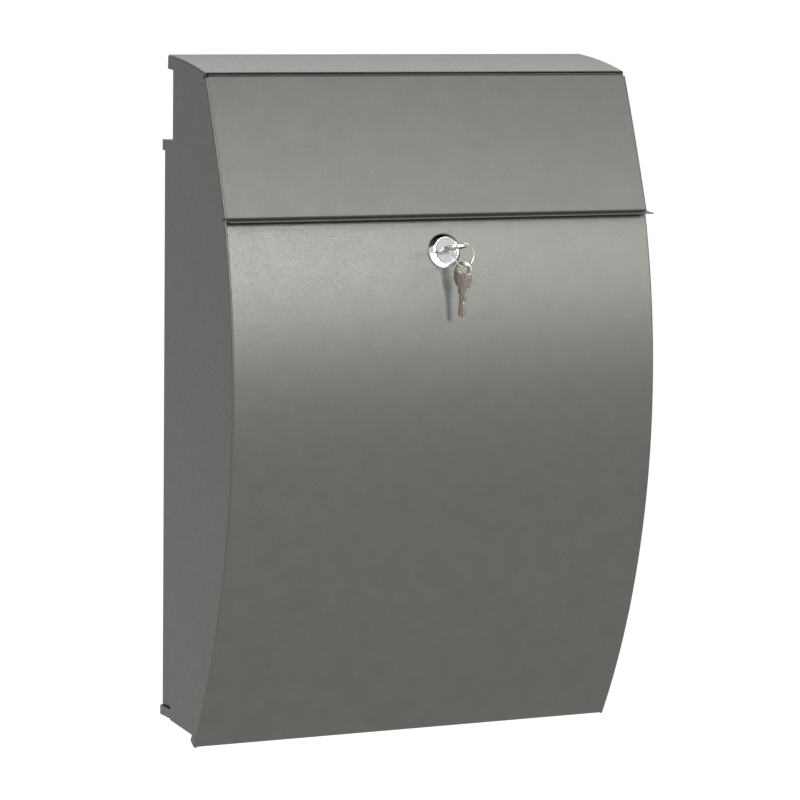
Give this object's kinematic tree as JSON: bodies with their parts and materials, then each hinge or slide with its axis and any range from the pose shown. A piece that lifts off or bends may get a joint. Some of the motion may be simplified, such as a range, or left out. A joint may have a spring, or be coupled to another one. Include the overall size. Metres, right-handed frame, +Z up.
{
  "type": "wall mounted mailbox",
  "caption": "Bowed sheet metal wall mailbox with a side-flanged mail flap over a hinged, lockable collecting door, cam lock and keys on a ring.",
  "frame": {"origin": "centre of the rectangle of four wall holes, on the wall plane", "axes": "+X to the right seen from the front, +Y back into the wall, +Z up"},
  "size_m": [0.4014, 0.1893, 0.5966],
  "materials": {
    "coat": "satin fine-grained metallic grey powder coat",
    "zinc": "zinc plated steel, semi-gloss",
    "chrome": "polished chrome plate",
    "nickel": "worn nickel-plated brass, semi-gloss",
    "ring_steel": "polished nickel-plated spring steel",
    "rubber": "matt black rubber"
  },
  "bodies": {
    "shell": {"back_pan": "coat", "pan_cap": "coat", "pan_rim": "coat", "back_plate": "coat", "side_left": "coat", "side_right": "coat", "bottom_plate": "coat", "roof": "coat", "slot_sill": "coat", "flap_rod": "zinc", "flap_bumpers": "rubber", "door_rod": "zinc"},
    "flap": {"flap": "coat", "flap_knuckles": "zinc"},
    "door": {"door": "coat", "door_knuckles": "zinc", "lock_body": "chrome", "lock_washer": "zinc", "lock_nut": "zinc"},
    "lock_plug": {"lock_plug": "chrome", "lock_cam": "zinc", "cam_screw": "zinc"},
    "key": {"key": "nickel"},
    "key_ring": {"key_ring": "ring_steel"},
    "spare_key": {"spare_key": "nickel"}
  },
  "joints": [
    {"name": "flap_hinge", "type": "hinge", "parent": "shell", "child": "flap", "pos_m": [0, -0.10087, 0.3103], "axis": [-1, 0, 0], "range_deg": [0, 65]},
    {"name": "door_hinge", "type": "hinge", "parent": "shell", "child": "door", "pos_m": [0, -0.08236, -0.26245], "axis": [1, 0, 0], "range_deg": [0, 75]},
    {"name": "lock_turn", "type": "hinge", "parent": "door", "child": "lock_plug", "pos_m": [0, -0.15493, 0.1646], "axis": [0, 0.9779, -0.2089], "range_deg": [0, 90]},
    {"name": "key_slide", "type": "slide", "parent": "lock_plug", "child": "key", "axis": [0, -0.9779, 0.2089], "range_m": [0, 0.022]},
    {"name": "ring_swing", "type": "hinge", "parent": "key", "child": "key_ring", "pos_m": [0.0005, -0.18153, 0.17028], "axis": [-0.9888, -0.1495, 0], "range_deg": [-3, 30]},
    {"name": "spare_swing", "type": "hinge", "parent": "key_ring", "child": "spare_key", "pos_m": [0.0065, -0.18153, 0.15328], "axis": [-0.9888, -0.1495, 0], "range_deg": [-7, 35]}
  ]
}
